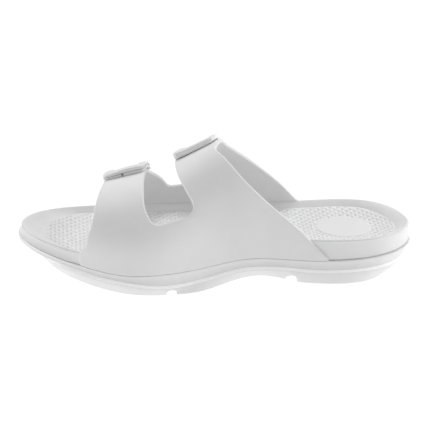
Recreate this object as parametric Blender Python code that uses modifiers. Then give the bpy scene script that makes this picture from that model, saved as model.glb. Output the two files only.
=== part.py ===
"""A two-strap slide sandal in moulded foam, for the right foot.

Metres, +Z up, +X toward the toe, +Y toward the inner (medial) side of the foot.
The origin is on the floor, under the middle of the heel seat.
"""

import math

import bmesh
import bpy
import numpy as np
from mathutils import Vector

MM = 0.001

# Driving sizes
LENGTH = 0.2663
BALL_WIDTH = 0.103
HEEL_HEIGHT = 0.032
INSTEP_HEIGHT = 0.090
HEEL_CENTRE = 0.0453
GAP = 0.0003

# Walls and steps
UPPER_WALL = 0.0032
UPPER_STEP = 0.0015
UPPER_EDGE = 0.0008
RIM_WIDTH = 0.0056
RIM_DROP = 0.0030
INSOLE_DEPTH = 0.0028
TOE_MARGIN = 0.0120
TOE_MARGIN_START = 0.85
HEEL_MARGIN = 0.0088
FLAT_MARGIN = 0.0002

# The wall and band flare at the toe, and the sole draws in round the heel
TOE_FLARE = 0.0012
TOE_FLARE_START = 0.86
HEEL_INSET = 0.0044
HEEL_ROUND_END = 0.14

# Stations round the outline, an even number so that the two sides pair up, and
# where a face's rings lie between its edge and the middle line
AROUND = 58
FACE_SHARES = (1.0, 0.6, 0.25, 0.0)

# Edges that bend more than these angles are sharp, or are bevelled
SHARP_ANGLE = 35
BEVEL_ANGLE = 50

# Where the middle line of the footbed starts and ends, as shares of the length
SPINE_START = 0.15
SPINE_END = 0.80

# The rim seen from above: share of the length from the heel, then the
# inner and outer half widths as shares of the ball width
OUTLINE = (
    # along, inner, outer
    (0.010, 0.105, 0.128),
    (0.030, 0.187, 0.225),
    (0.060, 0.260, 0.304),
    (0.100, 0.315, 0.360),
    (0.150, 0.345, 0.384),
    (0.200, 0.350, 0.388),
    (0.260, 0.336, 0.379),
    (0.320, 0.323, 0.378),
    (0.400, 0.322, 0.396),
    (0.480, 0.345, 0.433),
    (0.550, 0.391, 0.466),
    (0.600, 0.434, 0.488),
    (0.650, 0.473, 0.498),
    (0.700, 0.492, 0.496),
    (0.750, 0.487, 0.480),
    (0.800, 0.459, 0.450),
    (0.850, 0.415, 0.404),
    (0.900, 0.357, 0.343),
    (0.940, 0.290, 0.270),
    (0.970, 0.217, 0.190),
    (0.985, 0.162, 0.130),
)
TIP_SIDE = 0.020

# Heights of the sole's four lines as shares of the heel height
LEVELS = (
    # along, rim, groove, lip, floor
    (0.00, 0.975, 0.588, 0.365, 0.270),
    (0.03, 0.985, 0.585, 0.360, 0.165),
    (0.06, 0.995, 0.580, 0.355, 0.080),
    (0.10, 1.000, 0.572, 0.350, 0.026),
    (0.14, 1.003, 0.562, 0.345, 0.000),
    (0.20, 1.003, 0.547, 0.330, 0.000),
    (0.28, 1.000, 0.542, 0.335, 0.000),
    (0.34, 0.987, 0.575, 0.385, 0.090),
    (0.40, 0.963, 0.610, 0.412, 0.172),
    (0.45, 0.944, 0.603, 0.400, 0.136),
    (0.50, 0.918, 0.555, 0.330, 0.048),
    (0.56, 0.888, 0.503, 0.255, 0.000),
    (0.65, 0.857, 0.500, 0.240, 0.000),
    (0.70, 0.847, 0.507, 0.300, 0.026),
    (0.75, 0.862, 0.528, 0.374, 0.074),
    (0.80, 0.902, 0.584, 0.446, 0.150),
    (0.85, 0.950, 0.664, 0.545, 0.250),
    (0.90, 1.002, 0.750, 0.646, 0.385),
    (0.94, 1.052, 0.832, 0.716, 0.505),
    (0.97, 1.092, 0.893, 0.782, 0.640),
    (1.00, 1.130, 0.948, 0.850, 0.740),
)

# How far the outsole's side leans in on its way down, as shares of its taper:
# it stands upright where it spreads under the heel and the arch
LEAN = (
    # along, lean
    (0.00, 1.0),
    (0.10, 1.0),
    (0.15, 0.1),
    (0.20, -0.4),
    (0.25, -0.3),
    (0.30, 0.4),
    (0.36, 1.0),
    (0.42, 0.8),
    (0.48, 0.3),
    (0.52, -0.6),
    (0.55, -1.4),
    (0.58, -1.6),
    (0.61, -0.9),
    (0.65, 0.5),
    (0.70, 1.0),
    (1.00, 1.0),
)

# How far the footbed's top drops below the rim's inner edge, in the middle and
# along the inner and outer side, as shares of the heel height
BED = (
    # along, middle, inner, outer
    (0.00, 0.050, 0.015, 0.015),
    (0.17, 0.085, 0.015, 0.015),
    (0.35, 0.030, -0.020, 0.010),
    (0.50, 0.020, -0.030, 0.010),
    (0.65, 0.050, 0.010, 0.015),
    (0.80, 0.060, 0.015, 0.015),
    (1.00, 0.020, 0.010, 0.010),
)

# The arch over the foot: height of its crest, side shift of the crest and
# roundness of its two sides
ARCH = (
    # along, crest, crest side, inner roundness, outer roundness
    (0.20, 1.440, 0.03, 2.10, 1.80),
    (0.35, 1.240, 0.03, 2.10, 1.80),
    (0.45, 1.090, 0.03, 2.10, 1.80),
    (0.52, 0.990, 0.03, 2.15, 1.80),
    (0.60, 0.874, 0.04, 2.15, 1.80),
    (0.70, 0.783, 0.06, 2.20, 1.80),
    (0.80, 0.722, 0.08, 2.30, 1.85),
    (0.90, 0.644, 0.08, 2.30, 1.90),
)

# The upper's edges, one row for each direction round the arch, from the inner
# rim (90 degrees) over the crest (0) to the outer rim (-90)
EDGES = (
    # turn, rear edge, gap rear, gap front, front edge  (shares of the length)
    (100, 0.225, 0.592, 0.655, 0.8530),
    (90, 0.274, 0.590, 0.658, 0.8570),
    (84, 0.310, 0.587, 0.660, 0.8440),
    (75, 0.358, 0.574, 0.664, 0.8390),
    (62, 0.409, 0.566, 0.673, 0.8300),
    (45, 0.455, 0.582, 0.690, 0.8210),
    (25, 0.489, 0.602, 0.693, 0.8120),
    (5, 0.508, 0.610, 0.690, 0.7990),
    (-15, 0.490, 0.606, 0.682, 0.7840),
    (-35, 0.470, 0.598, 0.674, 0.7720),
    (-55, 0.419, 0.583, 0.641, 0.7700),
    (-72, 0.350, 0.572, 0.615, 0.7790),
    (-84, 0.297, 0.570, 0.615, 0.7900),
    (-90, 0.273, 0.570, 0.615, 0.8030),
    (-100, 0.222, 0.570, 0.615, 0.7990),
)
GAP_INNER_TURN = 62
GAP_OUTER_TURN = -71
GAP_CORNER = 0.0055


def natural_spline(knots, values):
    """Return the smooth function through the points, straight at its two ends."""
    knots = np.array(knots, dtype=float)
    values = np.array(values, dtype=float)
    steps = np.diff(knots)
    slopes = np.diff(values) / steps
    matrix = np.eye(len(knots))
    right = np.zeros(len(knots))
    for row in range(1, len(knots) - 1):
        matrix[row, row - 1] = steps[row - 1]
        matrix[row, row] = 2.0 * (steps[row - 1] + steps[row])
        matrix[row, row + 1] = steps[row]
        right[row] = 6.0 * (slopes[row] - slopes[row - 1])
    bends = np.linalg.solve(matrix, right)

    def value(place):
        place = min(max(place, knots[0]), knots[-1])
        row = int(np.clip(np.searchsorted(knots, place) - 1, 0, len(knots) - 2))
        step = steps[row]
        before = (knots[row + 1] - place) / step
        after = 1.0 - before
        bend = (before ** 3 - before) * bends[row] + (after ** 3 - after) * bends[row + 1]
        return float(before * values[row] + after * values[row + 1] + bend * step ** 2 / 6.0)

    return value


def column(table, index, size=1.0):
    """Return a spline through one column of a table, over its first column."""
    rows = sorted(table)
    return natural_spline([row[0] for row in rows], [row[index] * size for row in rows])


def side_spline():
    """Return the rim's side position over the angle round the outline, from the heel."""
    places = {0.0: 0.0, math.pi: TIP_SIDE * BALL_WIDTH}
    for along, inner, outer in OUTLINE:
        angle = math.acos(1.0 - 2.0 * along)
        places[angle] = inner * BALL_WIDTH
        places[2.0 * math.pi - angle] = -outer * BALL_WIDTH
    full = 2.0 * math.pi
    angles = sorted(places)
    knots = [angle + lap * full for lap in (-1, 0, 1) for angle in angles]
    return natural_spline(knots, [places[angle] for angle in angles] * 3)


rim_side_at = side_spline()
rim_height_at = column(LEVELS, 1, HEEL_HEIGHT)
groove_height_at = column(LEVELS, 2, HEEL_HEIGHT)
lip_height_at = column(LEVELS, 3, HEEL_HEIGHT)
floor_height_at = column(LEVELS, 4, HEEL_HEIGHT)
lean_at = column(LEAN, 1)
bed_middle_at = column(BED, 1, HEEL_HEIGHT)
bed_inner_at = column(BED, 2, HEEL_HEIGHT)
bed_outer_at = column(BED, 3, HEEL_HEIGHT)
crest_height_at = column(ARCH, 1, INSTEP_HEIGHT)
crest_side_at = column(ARCH, 2, BALL_WIDTH)
inner_round_at = column(ARCH, 3)
outer_round_at = column(ARCH, 4)
rear_edge_at = column(EDGES, 1, LENGTH)
gap_rear_at = column(EDGES, 2, LENGTH)
gap_front_at = column(EDGES, 3, LENGTH)
front_edge_at = column(EDGES, 4, LENGTH)


def along_of(x):
    """Return the share of the length at a place, 0 at the heel and 1 at the tip."""
    return min(max((x + HEEL_CENTRE) / LENGTH, 0.0), 1.0)


def place_of(length_from_heel):
    """Return the X of a length measured from the heel's end."""
    return length_from_heel - HEEL_CENTRE


def rim_height(x):
    return rim_height_at(along_of(x))


def groove_height(x):
    return groove_height_at(along_of(x))


def lip_height(x):
    return lip_height_at(along_of(x))


def floor_height(x):
    """Return the height of the sole's underside, flat at 0 under heel and ball."""
    return max(floor_height_at(along_of(x)) - FLAT_MARGIN, 0.0)


def rim_point(angle):
    """Return the rim's outline, seen from above."""
    x = place_of(LENGTH * (1.0 - math.cos(angle)) / 2.0)
    return Vector((x, rim_side_at(angle % (2.0 * math.pi))))


def rim_normal(angle):
    """Return the direction that points out of the outline."""
    step = 0.02
    run = rim_point(angle + step) - rim_point(angle - step)
    return Vector((-run.y, run.x)).normalized()


def rim_side(x, side):
    """Return the rim's side position at a place: side 1 is inner, -1 outer."""
    angle = math.acos(1.0 - 2.0 * along_of(x))
    return rim_side_at(angle if side > 0 else 2.0 * math.pi - angle)


def spine_point(angle):
    """Return the middle line's point for one angle round the outline."""
    share = (1.0 - math.cos(angle)) / 2.0
    x = place_of(LENGTH * (SPINE_START + (SPINE_END - SPINE_START) * share))
    return Vector((x, (rim_side(x, 1) + rim_side(x, -1)) / 2.0))


def toe_share(angle, start):
    """Return 0 behind the toe, growing to 1 at the tip."""
    along = (1.0 - math.cos(angle)) / 2.0
    share = max(along - start, 0.0) / (1.0 - start)
    return share * share * (3.0 - 2.0 * share)


def heel_share(angle):
    """Return 1 at the heel's end, falling to 0 before the heel's widest place."""
    along = (1.0 - math.cos(angle)) / 2.0
    share = min(along / HEEL_ROUND_END, 1.0)
    return 1.0 - share * share * (3.0 - 2.0 * share)


def insole_inset(angle):
    """Return how far the insole's edge lies inside the rim, more at toe and heel."""
    toe = (TOE_MARGIN - RIM_WIDTH) * toe_share(angle, TOE_MARGIN_START)
    heel = (HEEL_MARGIN - RIM_WIDTH) * heel_share(angle)
    return RIM_WIDTH + toe + heel


def wall_out(distance):
    """Return a distance outside the rim at the wall's foot, which flares at the toe."""
    def out(angle):
        return distance + TOE_FLARE * toe_share(angle, TOE_FLARE_START)
    return out


def band_out(distance, drop_share):
    """Return the band's distance outside the rim, drawn in round the heel as it drops."""
    def out(angle):
        flare = TOE_FLARE * toe_share(angle, TOE_FLARE_START)
        heel = HEEL_INSET * LIP_SHARE * drop_share * heel_share(angle)
        return distance + flare - heel
    return out


def bed_height(x, y):
    """Return the height of the footbed's top inside the rim."""
    along = along_of(x)
    inner = rim_side(x, 1)
    outer = rim_side(x, -1)
    middle = (inner + outer) / 2.0
    half = max((inner - outer) / 2.0 - RIM_WIDTH, RIM_WIDTH)
    share = min(abs(y - middle) / half, 1.0) ** 2
    side_drop = bed_inner_at(along) if y > middle else bed_outer_at(along)
    drop = bed_middle_at(along) * (1.0 - share) + side_drop * share
    return rim_height(x) - RIM_DROP - drop


def ring(out, height, share=0.0):
    """Return one ring of points round the outline.

    out is the distance outside the rim, a number or a function of the angle,
    share is how far the ring has moved toward the middle line, and height
    gives Z from X and Y.
    """
    points = []
    for station in range(AROUND):
        angle = 2.0 * math.pi * station / AROUND
        distance = out(angle) if callable(out) else out
        edge = rim_point(angle) + rim_normal(angle) * distance
        spot = edge.lerp(spine_point(angle), share)
        points.append((spot.x, spot.y, height(spot.x, spot.y)))
    return points


def face_rings(out, height):
    """Return the rings of a whole face, from the middle line to its edge."""
    return [ring(out, height, share) for share in FACE_SHARES]


def ring_solid(name, rings, collection, material):
    """Build a closed solid from rings that run from its top's middle to its bottom's.

    The first and the last ring lie on the middle line, where the two sides'
    points meet and are joined.
    """
    mesh = bpy.data.meshes.new(name)
    work = bmesh.new()
    rows = []
    for number, points in enumerate(rings):
        on_spine = number in (0, len(rings) - 1)
        if on_spine:
            half = [work.verts.new(point) for point in points[:AROUND // 2 + 1]]
            rows.append([half[min(k, AROUND - k)] for k in range(AROUND)])
        else:
            rows.append([work.verts.new(point) for point in points])
    for upper, lower in zip(rows, rows[1:]):
        for k in range(AROUND):
            after = (k + 1) % AROUND
            work.faces.new((upper[k], upper[after], lower[after], lower[k]))
    bmesh.ops.triangulate(work, faces=work.faces, quad_method="SHORT_EDGE")
    bmesh.ops.recalc_face_normals(work, faces=work.faces)
    work.to_mesh(mesh)
    work.free()
    return add_object(name, mesh, collection, material)


def add_object(name, mesh, collection, material=None):
    """Put a mesh in the scene, smooth but for its real edges."""
    item = bpy.data.objects.new(name, mesh)
    collection.objects.link(item)
    if material is not None:
        mesh.materials.append(material)
    mesh.shade_smooth()
    mesh.set_sharp_from_angle(angle=math.radians(SHARP_ANGLE))
    return item


def make_material(name, colour, roughness):
    """Make a plain foam or plastic material."""
    material = bpy.data.materials.new(name)
    material.use_nodes = True
    shader = material.node_tree.nodes["Principled BSDF"]
    shader.inputs["Base Color"].default_value = (*colour, 1.0)
    shader.inputs["Roughness"].default_value = roughness
    shader.inputs["Metallic"].default_value = 0.0
    return material


def above(height, rise):
    """Return a height function raised by a fixed amount."""
    return lambda x, y: height(x) + rise


def between(low, high, share):
    """Return a height function part of the way from one line to another."""
    return lambda x, y: low(x) + (high(x) - low(x)) * share


# Outsole
OUTSOLE_TOE_INSET = 0.0065
OUTSOLE_TOE_START = 0.88
OUTSOLE_LIP = 0.0026
OUTSOLE_TAPER = 0.0020
LEDGE_START = 0.0009
LEDGE_DROP = 0.0008
LIP_ROUND = 0.0006
LIP_SHARE = 0.5
FOOT_ROUND = 0.0012
NOTCH_CORNER = 0.32
NOTCH_DEPTH = 0.0044
NOTCHES = (
    # along, width, depth  (shares of the length, a number of notch depths)
    (0.318, 0.031, 1.45),
    (0.627, 0.027, 1.00),
)


def outsole_out(distance, drop_share=0.0):
    """Return the outsole's distance outside the rim, which leans in as it drops."""
    def out(angle):
        along = (1.0 - math.cos(angle)) / 2.0
        toe = OUTSOLE_TOE_INSET * toe_share(angle, OUTSOLE_TOE_START)
        heel_drop = LIP_SHARE + (1.0 - LIP_SHARE) * drop_share
        heel = HEEL_INSET * heel_drop * heel_share(angle)
        lean = (OUTSOLE_LIP + OUTSOLE_TAPER * lean_at(along)) * drop_share
        return distance - toe - heel - lean
    return out


def build_outsole(collection, cutters, material):
    rings = face_rings(outsole_out(-OUTSOLE_LIP), above(lip_height, -GAP / 2.0))
    rings += [
        ring(outsole_out(LEDGE_START), above(lip_height, -GAP / 2.0)),
        ring(outsole_out(OUTSOLE_LIP - LIP_ROUND), above(lip_height, -LEDGE_DROP)),
        ring(outsole_out(OUTSOLE_LIP), above(lip_height, -LEDGE_DROP - LIP_ROUND)),
        ring(outsole_out(OUTSOLE_LIP, 0.4), between(lip_height, floor_height, 0.56)),
        ring(outsole_out(OUTSOLE_LIP, 0.9), above(floor_height, FOOT_ROUND)),
        ring(outsole_out(OUTSOLE_LIP - FOOT_ROUND / 3.0, 1.0), above(floor_height, FOOT_ROUND / 4.0)),
    ]
    rings += reversed(face_rings(outsole_out(OUTSOLE_LIP - FOOT_ROUND, 1.0), above(floor_height, 0.0)))
    outsole = ring_solid("outsole", rings, collection, material)
    for number, (along, width, depth) in enumerate(NOTCHES):
        x = place_of(along * LENGTH)
        cutter = notch_cutter("notch_%d" % number, x, width * LENGTH, depth * NOTCH_DEPTH, cutters)
        cut(outsole, cutter)
    return outsole


def notch_cutter(name, x, width, depth, cutters):
    """Make a bar across the sole with two rounded upper edges."""
    height = depth + HEEL_HEIGHT
    mesh = bpy.data.meshes.new(name)
    work = bmesh.new()
    bmesh.ops.create_cube(work, size=1.0)
    for vert in work.verts:
        vert.co = Vector((vert.co.x * width, vert.co.y * BALL_WIDTH * 2.0, vert.co.z * height))
    upper_edges = [
        edge for edge in work.edges
        if all(vert.co.z > 0.0 for vert in edge.verts) and edge.verts[0].co.x * edge.verts[1].co.x > 0.0
    ]
    corner = width * NOTCH_CORNER
    bmesh.ops.bevel(work, geom=upper_edges, offset=corner, segments=4, profile=0.5, affect="EDGES")
    work.to_mesh(mesh)
    work.free()
    cutter = add_object(name, mesh, cutters)
    cutter.location = (x, 0.0, depth - height / 2.0)
    return cutter


def cut(item, cutter):
    """Cut one object with another, which stays as a wire guide."""
    cutter.hide_render = True
    cutter.display_type = "WIRE"
    modifier = item.modifiers.new("cut_" + cutter.name, "BOOLEAN")
    modifier.operation = "DIFFERENCE"
    modifier.object = cutter


# Midsole band
BAND_BULGE = 0.0012
BAND_ROUND = 0.0006
BED_UNDERCUT = 0.0018


def build_midsole(collection, material):
    rings = face_rings(-BED_UNDERCUT, above(groove_height, -GAP / 2.0))
    rings += [
        ring(band_out(BAND_BULGE - BAND_ROUND, 0.0), above(groove_height, -GAP / 2.0)),
        ring(band_out(BAND_BULGE, 0.0), above(groove_height, -GAP / 2.0 - BAND_ROUND)),
        ring(band_out(BAND_BULGE, 0.3), between(groove_height, lip_height, 0.5)),
        ring(band_out(LEDGE_START, 1.0), above(lip_height, GAP / 2.0)),
    ]
    rings += reversed(face_rings(outsole_out(-OUTSOLE_LIP), above(lip_height, GAP / 2.0)))
    return ring_solid("midsole", rings, collection, material)


# Footbed and insole
RIM_ROUND = 0.0012
SLOPE_MIDDLE = 0.55
WALL_FOOT = 0.0012


def build_footbed(collection, material):
    def recess_edge(angle):
        return GAP - insole_inset(angle)

    def recess_floor(x, y):
        return bed_height(x, y) - INSOLE_DEPTH - GAP

    def slope_middle(angle):
        return -SLOPE_MIDDLE * insole_inset(angle)

    rings = face_rings(recess_edge, recess_floor)
    rings += [
        ring(recess_edge, bed_height),
        ring(slope_middle, above(rim_height, -RIM_DROP * 0.42)),
        ring(-RIM_ROUND * 1.8, above(rim_height, -RIM_ROUND / 6.0)),
        ring(-RIM_ROUND, above(rim_height, 0.0)),
        ring(-RIM_ROUND * 0.28, above(rim_height, -RIM_ROUND / 3.0)),
        ring(0.0, above(rim_height, -RIM_ROUND)),
        ring(wall_out(0.0), above(groove_height, WALL_FOOT)),
        ring(wall_out(-BED_UNDERCUT * 0.3), above(groove_height, WALL_FOOT / 3.0)),
    ]
    rings += reversed(face_rings(-BED_UNDERCUT, above(groove_height, GAP / 2.0)))
    return ring_solid("footbed", rings, collection, material)


def build_insole(collection, material):
    def edge(angle):
        return -insole_inset(angle)

    def under(x, y):
        return bed_height(x, y) - INSOLE_DEPTH

    rings = face_rings(edge, bed_height) + face_rings(edge, under)[::-1]
    return ring_solid("insole", rings, collection, material)


# Upper
APRON_TURN = 100
REAR_COLUMNS = 8
GAP_COLUMNS = 4
FRONT_COLUMNS = 8


def skin(x, turn):
    """Return the upper's outer face at a place along the foot and a turn round the arch.

    Past 90 degrees either way the face runs straight down the footbed's wall.
    """
    along = along_of(x)
    side = 1.0 if turn >= 0 else -1.0
    crest_side = crest_side_at(along)
    reach = abs(rim_side(x, side) + side * UPPER_STEP - crest_side)
    rim = rim_height(x)
    if abs(turn) >= 90:
        fall = (abs(turn) - 90.0) / (APRON_TURN - 90.0)
        low = groove_height(x) + GAP
        return Vector((x, crest_side + side * reach, rim + (low - rim) * fall))
    blend = min(max((turn + 45.0) / 90.0, 0.0), 1.0)
    blend = blend * blend * (3.0 - 2.0 * blend)
    power = outer_round_at(along) * (1.0 - blend) + inner_round_at(along) * blend
    angle = math.radians(abs(turn))
    y = crest_side + side * reach * math.sin(angle) ** (2.0 / power)
    rise = crest_height_at(along) - rim
    return Vector((x, y, rim + rise * math.cos(angle) ** (2.0 / power)))


def skin_normal(x, turn):
    """Return the direction that points out of the upper's outer face."""
    turn_step = 0.5
    step = 0.5 * MM
    across = skin(x, turn + turn_step) - skin(x, turn - turn_step)
    run = skin(x + step, turn) - skin(x - step, turn)
    return run.cross(across).normalized()


def gap_corner(x, turn, width):
    """Return how far a rounded corner draws the gap's edge in near its end."""
    radius = min(GAP_CORNER, 0.3 * width)
    if not GAP_OUTER_TURN <= turn <= GAP_INNER_TURN:
        return radius
    end = GAP_INNER_TURN if turn > 0 else GAP_OUTER_TURN
    depth = (skin(x, turn) - skin(x, end)).length
    short = max(radius - depth, 0.0)
    return radius - math.sqrt(radius ** 2 - short ** 2)


def upper_row(turn):
    """Return the places along the foot of one row, in three groups."""
    rear = place_of(rear_edge_at(turn))
    front = place_of(front_edge_at(turn))
    gap_start = place_of(gap_rear_at(turn))
    gap_end = place_of(gap_front_at(turn))
    corner = gap_corner((gap_start + gap_end) / 2.0, turn, gap_end - gap_start)
    gap_start += corner
    gap_end -= corner
    return (
        np.linspace(rear, gap_start, REAR_COLUMNS + 1),
        np.linspace(gap_start, gap_end, GAP_COLUMNS + 1)[1:-1],
        np.linspace(gap_end, front, FRONT_COLUMNS + 1),
    )


def upper_turns():
    """Return the rows' turns from the outer apron over the crest to the inner one."""
    corner_steps = (0.0, 1.5, 3.2, 5.2, 8.0)
    middle_step = 12
    turns = [-APRON_TURN, -95, -90, -87, -84, -78]
    turns += [GAP_OUTER_TURN + step for step in corner_steps]
    turns += list(np.linspace(GAP_OUTER_TURN + middle_step, GAP_INNER_TURN - middle_step, 16))
    turns += [GAP_INNER_TURN - step for step in reversed(corner_steps)]
    turns += [69, 76, 83, 87, 90, 95, APRON_TURN]
    return turns


def build_upper(collection, cutters, material):
    mesh = bpy.data.meshes.new("upper")
    work = bmesh.new()
    rows = []
    for turn in upper_turns():
        rear, gap, front = upper_row(turn)
        open_gap = GAP_OUTER_TURN < turn < GAP_INNER_TURN
        groups = [rear, [] if open_gap else gap, front]
        rows.append([[work.verts.new(skin(x, turn)) for x in group] for group in groups])
    for low, high in zip(rows, rows[1:]):
        strips = [(low[0], high[0]), (low[2], high[2])]
        if low[1] and high[1]:
            join = ([low[0][-1]] + low[1] + [low[2][0]], [high[0][-1]] + high[1] + [high[2][0]])
            strips.append(join)
        for first, second in strips:
            for k in range(len(first) - 1):
                work.faces.new((first[k], first[k + 1], second[k + 1], second[k]))
    work.normal_update()
    work.to_mesh(mesh)
    work.free()
    upper = add_object("upper", mesh, collection, material)
    wall = upper.modifiers.new("wall", "SOLIDIFY")
    wall.thickness = UPPER_WALL
    wall.offset = -1.0
    wall.use_even_offset = True
    edges = upper.modifiers.new("edges", "BEVEL")
    edges.width = UPPER_EDGE
    edges.segments = 2
    edges.limit_method = "ANGLE"
    edges.angle_limit = math.radians(BEVEL_ANGLE)
    cut(upper, footbed_space(cutters))
    return upper


def footbed_space(cutters):
    """Make the cutter that leaves room for the footbed's rim inside the upper."""
    below = above(groove_height, -HEEL_HEIGHT / 4.0)
    rings = [
        ring(0.0, above(rim_height, GAP), 1.0),
        ring(0.0, above(rim_height, GAP), 0.4),
        ring(-RIM_ROUND, above(rim_height, GAP)),
        ring(GAP, above(rim_height, GAP - RIM_ROUND)),
        ring(GAP, below),
        ring(0.0, below, 0.4),
        ring(0.0, below, 1.0),
    ]
    return ring_solid("footbed_space", rings, cutters, None)


# Buckles, from the crest down the outer side of each strap
BUCKLE_EDGE = 0.0010
BUCKLE_LIFT = 0.0005
BUCKLE_BAR = 0.0050
BUCKLE_CORNER = 0.0035
BUCKLE_NEAR_TURN = -6.0
BUCKLE_FAR_TURN = -42.0
BUCKLE_BAR_TURNS = 5.5
BUCKLE_CORNER_TURNS = 3.5
CORNER_CUT = 0.3
PIN_RADIUS = 0.0012
PIN_SPARE_TURNS = 0.8
BUCKLES = (
    # name, rear end, front end, slant toward the heel  (shares of the length), thickness
    ("buckle_front", 0.684, 0.792, 0.022, 0.0050),
    ("buckle_rear", 0.512, 0.610, 0.036, 0.0036),
)


def buckle_place(rear, front, slant, share, turn):
    """Return a place along a buckle, which slants toward the heel on its way down."""
    down = (BUCKLE_NEAR_TURN - turn) / (BUCKLE_NEAR_TURN - BUCKLE_FAR_TURN)
    return place_of(LENGTH * (rear + (front - rear) * share - slant * down))


def raised(x, turn, height):
    """Return a point above the upper's outer face."""
    return skin(x, turn) + skin_normal(x, turn) * height


def build_buckle(name, rear, front, slant, thickness, collection, material):
    """Build a bowed frame with one window, curved like the strap below it."""
    width = LENGTH * (front - rear)
    bar = BUCKLE_BAR / width
    corner = BUCKLE_CORNER / width
    ends = (0.0, corner * CORNER_CUT, corner, bar)
    shares = list(ends) + list(np.linspace(bar, 1.0 - bar, 5)[1:-1]) + [1.0 - end for end in reversed(ends)]
    steps = (0.0, BUCKLE_CORNER_TURNS * CORNER_CUT, BUCKLE_CORNER_TURNS, BUCKLE_BAR_TURNS)
    turns = [BUCKLE_NEAR_TURN - step for step in steps]
    turns += list(np.linspace(turns[-1], BUCKLE_FAR_TURN + BUCKLE_BAR_TURNS, 5)[1:-1])
    turns += [BUCKLE_FAR_TURN + step for step in reversed(steps)]
    last = len(shares) - 1
    window_steps = range(len(ends) - 1, last - len(ends) + 1)
    mesh = bpy.data.meshes.new(name)
    work = bmesh.new()
    points = {}
    for row, turn in enumerate(turns):
        for place, share in enumerate(shares):
            if (row in (0, last)) and (place in (0, last)):
                continue
            x = buckle_place(rear, front, slant, share, turn)
            points[row, place] = work.verts.new(raised(x, turn, BUCKLE_LIFT))
    for row in range(last):
        for place in range(last):
            window = row in window_steps and place in window_steps
            keys = [(row, place), (row, place + 1), (row + 1, place + 1), (row + 1, place)]
            corners = [points[key] for key in keys if key in points]
            if not window and len(corners) > 2:
                work.faces.new(corners)
    work.normal_update()
    if sum(face.normal.z for face in work.faces) < 0:
        bmesh.ops.reverse_faces(work, faces=work.faces)
    work.to_mesh(mesh)
    work.free()
    buckle = add_object(name, mesh, collection, material)
    body = buckle.modifiers.new("body", "SOLIDIFY")
    body.thickness = thickness
    body.offset = 1.0
    body.use_even_offset = True
    edges = buckle.modifiers.new("edges", "BEVEL")
    edges.width = BUCKLE_EDGE
    edges.segments = 1
    edges.limit_method = "ANGLE"
    edges.angle_limit = math.radians(BEVEL_ANGLE)
    return buckle


def build_pin(name, rear, front, slant, collection, material):
    """Build the pin that lies across a buckle's window, on the strap."""
    first = BUCKLE_NEAR_TURN - BUCKLE_BAR_TURNS - PIN_SPARE_TURNS
    last = BUCKLE_FAR_TURN + BUCKLE_BAR_TURNS + PIN_SPARE_TURNS
    curve = bpy.data.curves.new(name, "CURVE")
    curve.dimensions = "3D"
    curve.bevel_depth = PIN_RADIUS
    curve.bevel_resolution = 2
    curve.use_fill_caps = True
    spline = curve.splines.new("POLY")
    turns = np.linspace(first, last, 7)
    spline.points.add(len(turns) - 1)
    for point, turn in zip(spline.points, turns):
        x = buckle_place(rear, front, slant, 0.5, turn)
        point.co = (*raised(x, turn, PIN_RADIUS + BUCKLE_LIFT), 1.0)
    curve.materials.append(material)
    pin = bpy.data.objects.new(name, curve)
    collection.objects.link(pin)
    return pin


def main():
    for item in list(bpy.data.objects):
        bpy.data.objects.remove(item)
    parts = bpy.data.collections.new("slide_sandal")
    cutters = bpy.data.collections.new("cutters")
    bpy.context.scene.collection.children.link(parts)
    bpy.context.scene.collection.children.link(cutters)

    sole_foam = make_material("sole_foam", (0.80, 0.80, 0.80), 0.55)
    upper_foam = make_material("upper_foam", (0.76, 0.76, 0.76), 0.60)
    insole_foam = make_material("insole_foam", (0.84, 0.84, 0.84), 0.70)
    buckle_plastic = make_material("buckle_plastic", (0.82, 0.82, 0.82), 0.40)

    build_outsole(parts, cutters, sole_foam)
    build_midsole(parts, sole_foam)
    build_footbed(parts, sole_foam)
    build_insole(parts, insole_foam)
    build_upper(parts, cutters, upper_foam)
    for name, rear, front, slant, thickness in BUCKLES:
        build_buckle(name, rear, front, slant, thickness, parts, buckle_plastic)
        build_pin(name.replace("buckle", "pin"), rear, front, slant, parts, buckle_plastic)


main()
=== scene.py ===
"""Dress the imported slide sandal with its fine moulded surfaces, and light it in a pale studio."""

import math

import bmesh
import bpy
import numpy as np
from mathutils import Matrix, Vector
from mathutils.kdtree import KDTree


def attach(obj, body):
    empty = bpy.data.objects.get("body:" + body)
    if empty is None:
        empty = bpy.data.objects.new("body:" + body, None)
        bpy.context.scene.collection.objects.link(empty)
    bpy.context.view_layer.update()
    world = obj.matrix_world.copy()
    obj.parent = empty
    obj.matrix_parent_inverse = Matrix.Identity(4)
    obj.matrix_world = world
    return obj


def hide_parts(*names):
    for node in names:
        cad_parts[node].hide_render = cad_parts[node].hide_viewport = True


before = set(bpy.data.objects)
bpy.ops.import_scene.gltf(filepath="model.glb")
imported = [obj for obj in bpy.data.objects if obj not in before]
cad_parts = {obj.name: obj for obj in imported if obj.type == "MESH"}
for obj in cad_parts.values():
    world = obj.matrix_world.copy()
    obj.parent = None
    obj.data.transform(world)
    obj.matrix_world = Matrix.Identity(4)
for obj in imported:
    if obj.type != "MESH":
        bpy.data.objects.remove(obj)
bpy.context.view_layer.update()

# Driving sizes, in metres
LENGTH = 0.2663
HEEL_CENTRE = 0.0453
BALL_WIDTH = 0.103
HEEL_HEIGHT = 0.032
INSTEP_HEIGHT = 0.090
GAP = 0.0003

# Half the joint that shows between the sole's layers, and how deep the upper sinks
# into the footbed
SEAM = 0.00008
SINK = 0.0001

# The upper's wall, and its foot's distance outside the rim
UPPER_WALL = 0.0032
UPPER_STEP = 0.0015

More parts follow.
